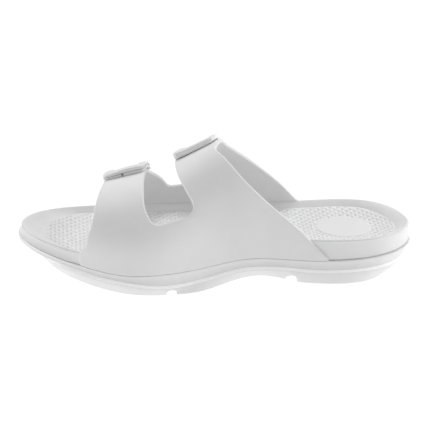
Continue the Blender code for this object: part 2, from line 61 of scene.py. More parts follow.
# The footbed's rim, and the insole's recess inside it
RIM_WIDTH = 0.0056
RIM_DROP = 0.0030
RIM_ROUND = 0.0012
TOE_MARGIN = 0.0120
TOE_MARGIN_START = 0.85
HEEL_MARGIN = 0.0088
HEEL_ROUND_END = 0.14
INSOLE_LAP = 0.0008
INSOLE_DEPTH = 0.0028
RECESS_DROP = 0.0012

# The rim's slope to the insole: mostly straight, and hollow at the toe
SLOPE_STEPS = 14
SLOPE_STRAIGHT = 0.80
SLOPE_CURVED = 0.20
SLOPE_TOE_POWER = 1.7
SLOPE_TOE_START = 0.80
SLOPE_TOE_REACH = 0.15

# The wall below the rim, which spreads at the toe until it meets the band
WALL_STEPS = 10
WALL_HOLLOW = 0.00030
TOE_FLARE = 0.0012
TOE_FLARE_START = 0.86
TOE_STEP = 0.0008
TOE_STEP_START = 0.862
TOE_STEP_REACH = 0.03
WALL_FOOT = (
    # distance out, rise above the groove
    (-0.0001, 0.0005),
    (-0.0002, 0.0003),
    (-0.0005, 0.0001),
    (-0.0012, 0.0000),
)
FOOT_FADE = 0.95
FOOT_FADE_START = 0.74
FOOT_FADE_REACH = 0.16

# The band between the groove and the outsole's lip
BED_UNDERCUT = 0.0018
BAND_BULGE = 0.0012
BAND_ROUND = 0.0006
BAND_HOLLOW = 0.0003
BAND_STEPS = 14

# The outsole: its lip with a small ledge on top, its side and its lower edge
OUTSOLE_TOE_INSET = 0.0065
OUTSOLE_TOE_START = 0.88
OUTSOLE_LIP = 0.0026
OUTSOLE_TAPER = 0.0020
OUTSOLE_SEAT = 0.0020
LEDGE_START = 0.0009
LEDGE_DROP = 0.0008
LIP_ROUND = 0.0006
LIP_SHARE = 0.5
HEEL_INSET = 0.0044
SIDE_STEPS = 9
SIDE_LEAN = 0.9
SIDE_CURVE = 1.3
SOLE_ROUND = 0.0012
FLAT_MARGIN = 0.0002

# Points round each ring, and the stretch of the middle line that rings close on
AROUND = 288
SPINE_START = 0.15
SPINE_END = 0.80

# The rim seen from above: share of the length from the heel, then the
# inner and outer half widths as shares of the ball width
OUTLINE = (
    # along, inner, outer
    (0.010, 0.105, 0.128),
    (0.030, 0.187, 0.225),
    (0.060, 0.260, 0.304),
    (0.100, 0.315, 0.360),
    (0.150, 0.345, 0.384),
    (0.200, 0.350, 0.388),
    (0.260, 0.336, 0.379),
    (0.320, 0.323, 0.378),
    (0.400, 0.322, 0.396),
    (0.480, 0.345, 0.433),
    (0.550, 0.391, 0.466),
    (0.600, 0.434, 0.488),
    (0.650, 0.473, 0.498),
    (0.700, 0.492, 0.496),
    (0.750, 0.487, 0.480),
    (0.800, 0.459, 0.450),
    (0.850, 0.415, 0.404),
    (0.900, 0.357, 0.343),
    (0.940, 0.290, 0.270),
    (0.970, 0.217, 0.190),
    (0.985, 0.162, 0.130),
)
TIP_SIDE = 0.020

# Heights of the sole's four lines as shares of the heel height
LEVELS = (
    # along, rim, groove, lip, floor
    (0.00, 0.975, 0.588, 0.365, 0.270),
    (0.03, 0.985, 0.585, 0.360, 0.165),
    (0.06, 0.995, 0.580, 0.355, 0.080),
    (0.10, 1.000, 0.572, 0.350, 0.026),
    (0.14, 1.003, 0.562, 0.345, 0.000),
    (0.20, 1.003, 0.547, 0.330, 0.000),
    (0.28, 1.000, 0.542, 0.335, 0.000),
    (0.34, 0.987, 0.575, 0.385, 0.090),
    (0.40, 0.963, 0.610, 0.412, 0.172),
    (0.45, 0.944, 0.603, 0.400, 0.136),
    (0.50, 0.918, 0.555, 0.330, 0.048),
    (0.56, 0.888, 0.503, 0.255, 0.000),
    (0.65, 0.857, 0.500, 0.240, 0.000),
    (0.70, 0.847, 0.507, 0.300, 0.026),
    (0.75, 0.862, 0.528, 0.374, 0.074),
    (0.80, 0.902, 0.584, 0.446, 0.150),
    (0.85, 0.950, 0.664, 0.545, 0.250),
    (0.90, 1.002, 0.750, 0.646, 0.385),
    (0.94, 1.052, 0.832, 0.716, 0.505),
    (0.97, 1.092, 0.893, 0.782, 0.640),
    (1.00, 1.130, 0.948, 0.850, 0.740),
)

# How far the outsole's side leans in on its way down, as shares of its taper:
# it stands upright where it spreads under the heel and the arch
LEAN = (
    # along, lean
    (0.00, 1.0),
    (0.10, 1.0),
    (0.15, 0.1),
    (0.20, -0.4),
    (0.25, -0.3),
    (0.30, 0.4),
    (0.36, 1.0),
    (0.42, 0.8),
    (0.48, 0.3),
    (0.52, -0.6),
    (0.55, -1.4),
    (0.58, -1.6),
    (0.61, -0.9),
    (0.65, 0.5),
    (0.70, 1.0),
    (1.00, 1.0),
)

# How far the footbed's top drops below the rim's inner edge, in the middle and
# along the inner and outer side, as shares of the heel height
BED = (
    # along, middle, inner, outer
    (0.00, 0.050, 0.015, 0.015),
    (0.17, 0.085, 0.015, 0.015),
    (0.35, 0.030, -0.020, 0.010),
    (0.50, 0.020, -0.030, 0.010),
    (0.65, 0.050, 0.010, 0.015),
    (0.80, 0.060, 0.015, 0.015),
    (1.00, 0.020, 0.010, 0.010),
)

# The arch over the foot: height of its crest as a share of the instep height, its
# side shift as a share of the ball width, and the roundness of its two sides
ARCH = (
    # along, crest, crest side, inner roundness, outer roundness
    (0.20, 1.440, 0.03, 2.10, 1.80),
    (0.35, 1.240, 0.03, 2.10, 1.80),
    (0.45, 1.090, 0.03, 2.10, 1.80),
    (0.52, 0.990, 0.03, 2.15, 1.80),
    (0.60, 0.874, 0.04, 2.15, 1.80),
    (0.70, 0.783, 0.06, 2.20, 1.80),
    (0.80, 0.722, 0.08, 2.30, 1.85),
    (0.90, 0.644, 0.08, 2.30, 1.90),
)

# The upper's edges, one row for each direction round the arch in degrees, from
# the inner rim (90) over the crest (0) to the outer rim (-90)
EDGES = (
    # turn, rear edge, gap rear, gap front, front edge  (shares of the length)
    (100, 0.225, 0.592, 0.655, 0.8530),
    (90, 0.274, 0.590, 0.658, 0.8570),
    (84, 0.310, 0.587, 0.660, 0.8440),
    (75, 0.358, 0.574, 0.664, 0.8390),
    (62, 0.409, 0.566, 0.673, 0.8300),
    (45, 0.455, 0.582, 0.690, 0.8210),
    (25, 0.489, 0.602, 0.693, 0.8120),
    (5, 0.508, 0.610, 0.690, 0.7990),
    (-15, 0.490, 0.606, 0.682, 0.7840),
    (-35, 0.470, 0.598, 0.674, 0.7720),
    (-55, 0.419, 0.583, 0.641, 0.7700),
    (-72, 0.350, 0.572, 0.615, 0.7790),
    (-84, 0.297, 0.570, 0.615, 0.7900),
    (-90, 0.273, 0.570, 0.615, 0.8030),
    (-100, 0.222, 0.570, 0.615, 0.7990),
)

# The gap between the straps ends at these turns, and the upper at the last one
GAP_INNER_TURN = 62
GAP_OUTER_TURN = -71
GAP_CORNER = 0.0055
APRON_TURN = 100


def natural_spline(knots, values):
    """Return the smooth function through the points, straight at its two ends."""
    knots = np.array(knots, dtype=float)
    values = np.array(values, dtype=float)
    steps = np.diff(knots)
    slopes = np.diff(values) / steps
    matrix = np.eye(len(knots))
    right = np.zeros(len(knots))
    for row in range(1, len(knots) - 1):
        matrix[row, row - 1] = steps[row - 1]
        matrix[row, row] = 2.0 * (steps[row - 1] + steps[row])
        matrix[row, row + 1] = steps[row]
        right[row] = 6.0 * (slopes[row] - slopes[row - 1])
    bends = np.linalg.solve(matrix, right)

    def value(place):
        place = np.clip(place, knots[0], knots[-1])
        row = np.clip(np.searchsorted(knots, place) - 1, 0, len(knots) - 2)
        step = steps[row]
        before = (knots[row + 1] - place) / step
        after = 1.0 - before
        bend = (before ** 3 - before) * bends[row] + (after ** 3 - after) * bends[row + 1]
        return before * values[row] + after * values[row + 1] + bend * step ** 2 / 6.0

    return value


def column(table, index, size=1.0):
    """Return a spline through one column of a table, over its first column."""
    rows = sorted(table)
    return natural_spline([row[0] for row in rows], [row[index] * size for row in rows])


def side_spline():
    """Return the rim's side position over the angle round the outline, from the heel."""
    places = {0.0: 0.0, math.pi: TIP_SIDE * BALL_WIDTH}
    for along, inner, outer in OUTLINE:
        angle = math.acos(1.0 - 2.0 * along)
        places[angle] = inner * BALL_WIDTH
        places[2.0 * math.pi - angle] = -outer * BALL_WIDTH
    full = 2.0 * math.pi
    angles = sorted(places)
    knots = [angle + lap * full for lap in (-1, 0, 1) for angle in angles]
    return natural_spline(knots, [places[angle] for angle in angles] * 3)


rim_side_at = side_spline()
rim_height_at = column(LEVELS, 1, HEEL_HEIGHT)
groove_height_at = column(LEVELS, 2, HEEL_HEIGHT)
lip_height_at = column(LEVELS, 3, HEEL_HEIGHT)
floor_height_at = column(LEVELS, 4, HEEL_HEIGHT)
lean_at = column(LEAN, 1)
bed_middle_at = column(BED, 1, HEEL_HEIGHT)
bed_inner_at = column(BED, 2, HEEL_HEIGHT)
bed_outer_at = column(BED, 3, HEEL_HEIGHT)
crest_height_at = column(ARCH, 1, INSTEP_HEIGHT)
crest_side_at = column(ARCH, 2, BALL_WIDTH)
inner_round_at = column(ARCH, 3)
outer_round_at = column(ARCH, 4)
rear_edge_at = column(EDGES, 1, LENGTH)
gap_rear_at = column(EDGES, 2, LENGTH)
gap_front_at = column(EDGES, 3, LENGTH)
front_edge_at = column(EDGES, 4, LENGTH)


def smooth(share):
    """Return an eased share: 0 up to 0, 1 from 1 on, level at both ends."""
    share = np.clip(share, 0.0, 1.0)
    return share * share * (3.0 - 2.0 * share)


def along_of(x):
    """Return the share of the length at a place, 0 at the heel and 1 at the tip."""
    return np.clip((x + HEEL_CENTRE) / LENGTH, 0.0, 1.0)


def place_of(length_from_heel):
    """Return the X of a length measured from the heel's end."""
    return length_from_heel - HEEL_CENTRE


def rim_height(x):
    return rim_height_at(along_of(x))


def groove_height(x):
    return groove_height_at(along_of(x))


def lip_height(x):
    return lip_height_at(along_of(x))


def floor_height(x):
    """Return the height of the sole's underside, flat at 0 under heel and ball."""
    return np.maximum(floor_height_at(along_of(x)) - FLAT_MARGIN, 0.0)


def along_at(angles):
    """Return the share of the length for angles round the outline, from the heel."""
    return (1.0 - np.cos(angles)) / 2.0


def rim_points(angles):
    """Return the rim's outline, seen from above."""
    x = place_of(LENGTH * along_at(angles))
    return np.stack([x, rim_side_at(angles % (2.0 * math.pi))], axis=-1)


def rim_normals(angles):
    """Return the directions that point out of the outline."""
    step = 0.02
    run = rim_points(angles + step) - rim_points(angles - step)
    out = np.stack([-run[..., 1], run[..., 0]], axis=-1)
    return out / np.linalg.norm(out, axis=-1, keepdims=True)


def rim_side(x, side):
    """Return the rim's side position at a place: side 1 is inner, -1 outer."""
    angle = np.arccos(1.0 - 2.0 * along_of(x))
    return rim_side_at(np.where(np.asarray(side) > 0, angle, 2.0 * math.pi - angle))


def spine_points(angles):
    """Return the middle line's points for angles round the outline."""
    x = place_of(LENGTH * (SPINE_START + (SPINE_END - SPINE_START) * along_at(angles)))
    return np.stack([x, (rim_side(x, 1) + rim_side(x, -1)) / 2.0], axis=-1)


def toe_share(angles, start):
    """Return 0 behind the toe, growing to 1 at the tip."""
    return smooth((along_at(angles) - start) / (1.0 - start))


def insole_inset(angles):
    """Return how far the insole's edge lies inside the rim, more at toe and heel."""
    toe = (TOE_MARGIN - RIM_WIDTH) * toe_share(angles, TOE_MARGIN_START)
    heel = (HEEL_MARGIN - RIM_WIDTH) * heel_share(angles)
    return RIM_WIDTH + toe + heel


def heel_share(angles):
    """Return 1 at the heel's end, falling to 0 before the arch."""
    return 1.0 - smooth(along_at(angles) / HEEL_ROUND_END)


def outsole_out(distance, drop_share=0.0):
    """Return the outsole's distance outside the rim, which leans in as it drops."""
    def out(angles):
        toe = OUTSOLE_TOE_INSET * toe_share(angles, OUTSOLE_TOE_START)
        heel_drop = LIP_SHARE + (1.0 - LIP_SHARE) * drop_share
        heel = HEEL_INSET * heel_drop * heel_share(angles)
        lean = (OUTSOLE_LIP + OUTSOLE_TAPER * lean_at(along_at(angles))) * drop_share
        return distance - toe - heel - lean
    return out


def band_out(distance, drop_share):
    """Return the band's distance outside the rim, drawn in round the heel as it drops."""
    def out(angles):
        heel = HEEL_INSET * LIP_SHARE * drop_share * heel_share(angles)
        return distance + TOE_FLARE * toe_share(angles, TOE_FLARE_START) - heel
    return out


def wall_out(distance, drop_share):
    """Return the wall's distance outside the rim, which flares at the toe."""
    def out(angles):
        spread = smooth((along_at(angles) - TOE_STEP_START) / TOE_STEP_REACH)
        step = TOE_STEP * spread * drop_share ** 3
        return distance + TOE_FLARE * toe_share(angles, TOE_FLARE_START) * drop_share + step
    return out


def bed_height(x, y):
    """Return the height of the footbed's top inside the rim."""
    along = along_of(x)
    inner = rim_side(x, 1)
    outer = rim_side(x, -1)
    middle = (inner + outer) / 2.0
    half = np.maximum((inner - outer) / 2.0 - RIM_WIDTH, RIM_WIDTH)
    share = np.minimum(np.abs(y - middle) / half, 1.0) ** 2
    side_drop = np.where(y > middle, bed_inner_at(along), bed_outer_at(along))
    drop = bed_middle_at(along) * (1.0 - share) + side_drop * share
    return rim_height(x) - RIM_DROP - drop


ANGLES = np.linspace(0.0, 2.0 * math.pi, AROUND, endpoint=False)


def ring(out, height, share=0.0):
    """Return one ring of points round the outline.

    out is the distance outside the rim, a number or a function of the angle,
    share is how far the ring has moved toward the middle line, and height
    gives Z from X and Y.
    """
    distance = out(ANGLES) if callable(out) else np.full(AROUND, out)
    edge = rim_points(ANGLES) + rim_normals(ANGLES) * distance[:, None]
    spot = edge + (spine_points(ANGLES) - edge) * share
    z = height(spot[:, 0], spot[:, 1])
    return np.column_stack([spot, z])


def face_rings(out, height, shares=(1.0, 0.8, 0.6, 0.4, 0.2, 0.0)):
    """Return the rings of a whole face, from the middle line to its edge."""
    return [ring(out, height, share) for share in shares]


def above(height, rise):
    """Return a height function raised by a fixed amount."""
    return lambda x, y: height(x) + rise


def between(low, high, share, rise=0.0):
    """Return a height function part of the way from one line to another."""
    return lambda x, y: low(x) + (high(x) - low(x)) * share + rise


def add_item(name, data):
    """Put an object made of a mesh, curve, light or camera in the scene."""
    item = bpy.data.objects.new(name, data)
    bpy.context.scene.collection.objects.link(item)
    return item


def make_object(name, mesh, material, smooth_angle=35.0):
    """Put a mesh in the scene with its material, smooth but for real edges."""
    item = add_item(name, mesh)
    if material is not None:
        mesh.materials.append(material)
    mesh.shade_smooth()
    mesh.set_sharp_from_angle(angle=math.radians(smooth_angle))
    return item


def ring_mesh(name, rings):
    """Build a closed mesh from rings that run from its top's middle to its bottom's.

    The first and the last ring lie on the middle line, where the two sides'
    points meet and are joined.
    """
    half = AROUND // 2
    points = []
    rows = []
    for number, ring_points in enumerate(rings):
        start = len(points)
        if number in (0, len(rings) - 1):
            points.extend(ring_points[:half + 1])
            rows.append([start + min(k, AROUND - k) for k in range(AROUND)])
        else:
            points.extend(ring_points)
            rows.append([start + k for k in range(AROUND)])
    faces = []
    for upper, lower in zip(rows, rows[1:]):
        for k in range(AROUND):
            after = (k + 1) % AROUND
            faces.append((upper[k], upper[after], lower[after], lower[k]))
    mesh = bpy.data.meshes.new(name)
    mesh.from_pydata([tuple(point) for point in points], [], faces)
    tidy_mesh(mesh, least=1e-7)
    return mesh


def tidy_mesh(mesh, joined=None, least=None):
    """Turn a mesh's faces outward, after joining near points and dropping tiny edges."""
    work = bmesh.new()
    work.from_mesh(mesh)
    if joined is not None:
        bmesh.ops.remove_doubles(work, verts=work.verts, dist=joined)
    if least is not None:
        bmesh.ops.dissolve_degenerate(work, dist=least, edges=work.edges)
    bmesh.ops.recalc_face_normals(work, faces=work.faces)
    work.to_mesh(mesh)
    work.free()


def place(item, node, slot):
    """Let a piece ride on the shoe in place of its CAD node."""
    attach(item, "root")
    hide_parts(node)
    return item


# Materials

# Waves a metre of the noises
FOAM_MOTTLE = 55.0
FOAM_PATCHES = 130.0
FOAM_GRAIN = 2600.0
FOAM_WAVES = 90.0
PLASTIC_MOTTLE = 70.0
PLASTIC_GRAIN = 1500.0

PLASTIC_GRAIN_DEPTH = 0.00001
NOISE_LOW = 0.30
NOISE_HIGH = 0.70
ROUGHNESS_SPREAD = 0.06
FOAM_SPECULAR = 0.35
PLASTIC_SPECULAR = 0.5
WHITE = (1.0, 1.0, 1.0, 1.0)


class Shader:
    """A small builder for one material's nodes, on the Principled shader."""

    def __init__(self, name, roughness):
        self.material = bpy.data.materials.new(name)
        self.material.use_nodes = True
        self.nodes = self.material.node_tree.nodes
        self.links = self.material.node_tree.links
        self.shader = self.nodes["Principled BSDF"]
        self.shader.inputs["Roughness"].default_value = roughness
        coordinates = self.nodes.new("ShaderNodeTexCoord")
        self.place = coordinates.outputs["Object"]

    def noise(self, scale, detail=3.0, roughness=0.55):
        """Add a noise of so many waves a metre and return its value."""
        node = self.nodes.new("ShaderNodeTexNoise")
        node.inputs["Scale"].default_value = scale
        node.inputs["Detail"].default_value = detail
        node.inputs["Roughness"].default_value = roughness
        self.links.new(self.place, node.inputs["Vector"])
        return node.outputs["Fac"]

    def ramp(self, value, stops):
        """Map a value through colour or grey stops."""
        node = self.nodes.new("ShaderNodeValToRGB")
        elements = node.color_ramp.elements
        while len(elements) < len(stops):
            elements.new(0.5)
        for element, (position, colour) in zip(elements, stops):
            element.position = position
            element.color = (*colour, 1.0)
        self.links.new(value, node.inputs["Fac"])
        return node.outputs["Color"]

    def bump(self, value, depth, strength=1.0, after=None):
        """Add a bump of a depth in metres on top of an earlier one."""
        node = self.nodes.new("ShaderNodeBump")
        node.inputs["Distance"].default_value = depth
        node.inputs["Strength"].default_value = strength
        self.links.new(value, node.inputs["Height"])
        if after is not None:
            self.links.new(after, node.inputs["Normal"])
        return node.outputs["Normal"]


def foam_material(name, light, dark, roughness, grain, waves):
    """Moulded foam: a faint mottle, dull patches, a fine grain and low broad waves."""
    shade = Shader(name, roughness)
    mottle = shade.noise(FOAM_MOTTLE, 4.0)
    colour = shade.ramp(mottle, [(NOISE_LOW, dark), (NOISE_HIGH, light)])
    shade.links.new(colour, shade.shader.inputs["Base Color"])
    patches = shade.noise(FOAM_PATCHES, 3.0)
    glossy = (roughness - ROUGHNESS_SPREAD,) * 3
    dull = (roughness + ROUGHNESS_SPREAD,) * 3
    spread = shade.ramp(patches, [(NOISE_LOW, glossy), (NOISE_HIGH, dull)])
    shade.links.new(spread, shade.shader.inputs["Roughness"])
    fine = shade.bump(shade.noise(FOAM_GRAIN, 2.0), grain)
    broad = shade.bump(shade.noise(FOAM_WAVES, 2.0), waves, after=fine)
    shade.links.new(broad, shade.shader.inputs["Normal"])
    shade.shader.inputs["Specular IOR Level"].default_value = FOAM_SPECULAR
    return shade.material


def plastic_material(name, light, dark, roughness):
    """Hard moulded plastic: smooth, a little glossier than the foam."""
    shade = Shader(name, roughness)
    mottle = shade.noise(PLASTIC_MOTTLE)
    colour = shade.ramp(mottle, [(NOISE_LOW, dark), (NOISE_HIGH, light)])
    shade.links.new(colour, shade.shader.inputs["Base Color"])
    grain = shade.bump(shade.noise(PLASTIC_GRAIN), PLASTIC_GRAIN_DEPTH)
    shade.links.new(grain, shade.shader.inputs["Normal"])
    shade.shader.inputs["Specular IOR Level"].default_value = PLASTIC_SPECULAR
    return shade.material


# Sole

# Edges sharper than these angles stay sharp, on bent pieces and on cut ones
BEND_ANGLE = 50.0
CUT_ANGLE = 40.0

# Painted highlight: the lip's upward faces get a lighter foam that glows a little, standing for the light
# that the lip's top catches
LIP_GLOW = 0.22
LIP_FACING = 0.3

NOTCH_DEPTH = 0.0044
NOTCH_FLATTEN = 0.8
NOTCHES = (
    # along, width, depth  (shares of the length, a number of notch depths)
    (0.318, 0.031, 1.45),
    (0.627, 0.027, 1.00),
)


def arc(turns, radius):
    """Return the points of a quarter round, from flat top to standing side."""
    angles = np.linspace(0.0, math.pi / 2.0, turns)
    return [(radius * (math.sin(a) - 1.0), radius * (math.cos(a) - 1.0)) for a in angles]


def build_footbed(material):
    """Build the dished unit: recess, sloped inside of the rim, round rim and wall."""
    def recess_edge(angles):
        return -INSOLE_LAP - insole_inset(angles)

    def recess_floor(x, y):
        return bed_height(x, y) - INSOLE_DEPTH - GAP

    def slope_out(share):
        return lambda angles: -insole_inset(angles) * (1.0 - share) - RIM_ROUND * share

    def slope_height(share):
        def height(x, y):
            toe = smooth((along_of(x) - SLOPE_TOE_START) / SLOPE_TOE_REACH)
            side_rise = SLOPE_STRAIGHT * share + SLOPE_CURVED * math.sin(share * math.pi / 2.0)
            toe_rise = share ** SLOPE_TOE_POWER
            rise = side_rise * (1.0 - toe) + toe_rise * toe
            low = bed_height(x, y)
            return low + (rim_height(x) - low) * rise
        return height

    def wall_foot(rise):
        def height(x, y):
            fade = 1.0 - FOOT_FADE * smooth((along_of(x) - FOOT_FADE_START) / FOOT_FADE_REACH)
            return groove_height(x) + SEAM + rise * fade
        return height

    rings = face_rings(recess_edge, recess_floor)
    rings.append(ring(recess_edge, lambda x, y: bed_height(x, y) - RECESS_DROP))
    for step in range(SLOPE_STEPS + 1):
        share = step / SLOPE_STEPS
        rings.append(ring(slope_out(share), slope_height(share)))
    for out, drop in arc(9, RIM_ROUND)[1:]:
        rings.append(ring(out, above(rim_height, drop)))
    for step in range(1, WALL_STEPS):
        share = step / WALL_STEPS
        hollow = WALL_HOLLOW * math.sin(share * math.pi)
        rings.append(ring(wall_out(-hollow, share), between(rim_height, groove_height, share)))
    for out, rise in WALL_FOOT:
        rings.append(ring(wall_out(out, 1.0), wall_foot(rise)))
    rings += reversed(face_rings(-BED_UNDERCUT, above(groove_height, SEAM)))
    item = make_object("footbed_moulding", ring_mesh("footbed_moulding", rings), material, BEND_ANGLE)
    return place(item, "footbed", "sole_foam")


def build_midsole(material):
    """Build the bulging band between the groove and the outsole's lip."""
    rings = face_rings(-BED_UNDERCUT, above(groove_height, -SEAM))
    for out, drop in arc(8, BAND_ROUND):
        rings.append(ring(band_out(BAND_BULGE + out, 0.0), above(groove_height, drop - SEAM)))
    for step in range(1, BAND_STEPS + 1):
        share = step / BAND_STEPS
        narrowing = (BAND_BULGE - LEDGE_START) * share
        hollow = BAND_HOLLOW * math.sin(share * math.pi)
        drop = -BAND_ROUND * (1.0 - share) + SEAM * share
        rings.append(ring(
            band_out(BAND_BULGE - narrowing - hollow, share),
            between(groove_height, lip_height, share, drop)))
    rings += reversed(face_rings(outsole_out(-OUTSOLE_SEAT), above(lip_height, SEAM)))
    item = make_object("midsole_band", ring_mesh("midsole_band", rings), material, BEND_ANGLE)
    return place(item, "midsole", "sole_foam")


def notch_cutter(x, width, depth):
    """Make a bar across the sole with a round top, to cut one cross groove."""
    radius = width / 2.0
    mesh = bpy.data.meshes.new("notch")
    work = bmesh.new()
    outline = [(-radius, -HEEL_HEIGHT), (radius, -HEEL_HEIGHT)]
    rise = radius * NOTCH_FLATTEN
    for angle in np.linspace(0.0, math.pi, 17):
        outline.append((radius * math.cos(angle), depth - rise + rise * math.sin(angle)))
    sides = []
    for y in (-BALL_WIDTH, BALL_WIDTH):
        sides.append([work.verts.new((x + across, y, z)) for across, z in outline])
    near, far = sides
    work.faces.new(near)
    work.faces.new(far[::-1])
    for k in range(len(outline)):
        after = (k + 1) % len(outline)
        work.faces.new((near[k], far[k], far[after], near[after]))
    bmesh.ops.recalc_face_normals(work, faces=work.faces)
    work.to_mesh(mesh)
    work.free()
    return add_item("notch", mesh)


def cut(item, cutter):
    """Cut one object with another, which is then removed."""
    modifier = item.modifiers.new("cut", "BOOLEAN")
    modifier.operation = "DIFFERENCE"
    modifier.object = cutter
    settle(item)
    bpy.data.objects.remove(cutter)


def settle(item):
    """Make an object's modified shape its real mesh."""
    graph = bpy.context.evaluated_depsgraph_get()
    mesh = bpy.data.meshes.new_from_object(item.evaluated_get(graph))
    item.modifiers.clear()
    item.data = mesh


def build_outsole(material, highlight_material):
    """Build the walked-on layer with its thin lip, tapered side and two cross grooves, with a painted
    highlight on the lip's top.
    """
    rings = face_rings(outsole_out(-OUTSOLE_SEAT), above(lip_height, -SEAM))
    for share in np.linspace(0.0, 1.0, 5):
        out = LEDGE_START + (OUTSOLE_LIP - LIP_ROUND - LEDGE_START) * share
        rings.append(ring(outsole_out(out), above(lip_height, -SEAM - LEDGE_DROP * share)))
    for out, drop in arc(7, LIP_ROUND)[1:]:
        rings.append(ring(outsole_out(OUTSOLE_LIP + out), above(lip_height, drop - SEAM - LEDGE_DROP)))
    lip_depth = LEDGE_DROP + LIP_ROUND
    for step in range(1, SIDE_STEPS + 1):
        share = step / SIDE_STEPS
        rise = -lip_depth * (1.0 - share) + SOLE_ROUND * share
        rings.append(ring(
            outsole_out(OUTSOLE_LIP, SIDE_LEAN * share ** SIDE_CURVE),
            between(lip_height, floor_height, share, rise)))
    for turn in np.linspace(0.2, 1.0, 6):
        angle = turn * math.pi / 2.0
        out = OUTSOLE_LIP - SOLE_ROUND * (1.0 - math.cos(angle))
        lean = SIDE_LEAN + (1.0 - SIDE_LEAN) * math.sin(angle)
        rise = SOLE_ROUND * (1.0 - math.sin(angle))
        rings.append(ring(outsole_out(out, lean), above(floor_height, rise)))
    rings += reversed(face_rings(outsole_out(OUTSOLE_LIP - OUTSOLE_SEAT, 1.0), above(floor_height, 0.0)))
    item = make_object("outsole_rubber", ring_mesh("outsole_rubber", rings), material, BEND_ANGLE)
    for along, width, depth in NOTCHES:
        cut(item, notch_cutter(place_of(along * LENGTH), width * LENGTH, depth * NOTCH_DEPTH))
    item.data.set_sharp_from_angle(angle=math.radians(CUT_ANGLE))
    # Painted highlight: the lip's faces that point up take the lighter, glowing material
    item.data.materials.append(highlight_material)
    for face in item.data.polygons:
        drop = lip_height(face.center.x) - face.center.z
        if face.normal.z > LIP_FACING and 0.0 < drop < lip_depth:
            face.material_index = 1
    return place(item, "outsole", "sole_foam")


# Insole

# The lattice of bumps and pits, which fades out toward the edge and the toe
DOT_PITCH = 0.0056
DOT_ROWS = 0.0058
BUMP_RISE = 0.00042
PIT_DEPTH = 0.00110
PLAIN_EDGE = 0.0010
EDGE_FADE = 0.0020
SMOOTH_TOE = 0.0150
TOE_FADE = 0.004

# The plain pad under the heel: its line and fades as shares of the pad's radius
PAD_HALF_LENGTH = 0.0190
PAD_HALF_WIDTH = 0.0180
PAD_RISE = 0.00025
PAD_LINE = 0.00050
PAD_LINE_AT = 1.02
PAD_LINE_WIDTH = 0.018
PAD_FADE = 0.03
LATTICE_FADE = 0.06

# The mesh's pitch, and the insole's rounded edge, which fades out at the toe
INSOLE_STEP = 0.00062
INSOLE_EDGE_DROP = 0.00035
INSOLE_EDGE_WIDTH = 0.0007
SEAM_END = 0.84
SEAM_FADE = 0.05


def outline_stations(step):
    """Return angles from heel to toe that are one step apart along the outline."""
    fine = np.linspace(0.0, math.pi, 4001)
    gaps = np.linalg.norm(np.diff(rim_points(fine), axis=0), axis=1)
    run = np.concatenate([[0.0], np.cumsum(gaps)])
    count = int(run[-1] / step)
    return np.interp(np.linspace(0.0, run[-1], count), run, fine)


def insole_relief(x, y, to_edge):
    """Return the height of the pattern: staggered bumps with pits between them, and the pad."""
    lattice = np.cos(2.0 * math.pi * x / DOT_PITCH) * np.cos(2.0 * math.pi * y / DOT_ROWS)
    bumps = BUMP_RISE * np.clip(lattice, 0.0, 1.0)
    pits = PIT_DEPTH * np.clip(-lattice, 0.0, 1.0) ** 2.0
    tip = place_of(LENGTH)
    pad = np.sqrt((x / PAD_HALF_LENGTH) ** 2 + (y / PAD_HALF_WIDTH) ** 2)
    outside = smooth((pad - 1.0) / LATTICE_FADE)
    toe = smooth((tip - SMOOTH_TOE - x) / TOE_FADE)
    edge = smooth((to_edge - PLAIN_EDGE) / EDGE_FADE)
    on_pad = 1.0 - smooth((pad - 0.97) / PAD_FADE)
    near_side = smooth((y / PAD_HALF_WIDTH + 0.1) / 0.4)
    line = PAD_LINE * np.exp(-((pad - PAD_LINE_AT) / PAD_LINE_WIDTH) ** 2) * near_side
    return (bumps - pits) * outside * toe * edge + PAD_RISE * on_pad - line


def build_insole(material):
    """Build the inlaid insole as one tube of cross sections from heel to toe."""
    angles = outline_stations(INSOLE_STEP)
    inner = rim_points(angles) - rim_normals(angles) * insole_inset(angles)[:, None]
    other = 2.0 * math.pi - angles
    outer = rim_points(other) - rim_normals(other) * insole_inset(angles)[:, None]
    inner[0] = outer[0] = (inner[0] + outer[0]) / 2.0
    inner[-1] = outer[-1] = (inner[-1] + outer[-1]) / 2.0
    widest = np.linalg.norm(inner - outer, axis=1)
    columns = int(widest.max() / INSOLE_STEP)
    across = np.linspace(0.0, 1.0, columns)
    plan = outer[:, None, :] + (inner - outer)[:, None, :] * across[None, :, None]
    x = plan[..., 0]
    y = plan[..., 1]
    to_side = np.minimum(across, 1.0 - across)[None, :] * widest[:, None]
    from_heel = x - x.min()
    to_tip = x.max() - x
    to_edge = np.minimum(to_side, np.minimum(from_heel, to_tip))
    visible_edge = smooth((SEAM_END - along_of(x)) / SEAM_FADE)
    edge_round = INSOLE_EDGE_DROP * (1.0 - smooth(to_edge / INSOLE_EDGE_WIDTH)) * visible_edge
    top = bed_height(x, y) + insole_relief(x, y, to_edge) - edge_round
    under_across = np.linspace(1.0, 0.0, 7)
    under = outer[:, None, :] + (inner - outer)[:, None, :] * under_across[None, :, None]
    low = bed_height(under[..., 0], under[..., 1]) - INSOLE_DEPTH
    top_rows = np.concatenate([plan, top[..., None]], axis=-1)
    under_rows = np.concatenate([under, low[..., None]], axis=-1)
    sections = np.concatenate([top_rows, under_rows], axis=1)
    mesh = section_mesh("insole_moulding", sections, joined=2e-6, least=1e-6)
    item = make_object("insole_moulding", mesh, material, 60.0)
    return place(item, "insole", "insole_foam")


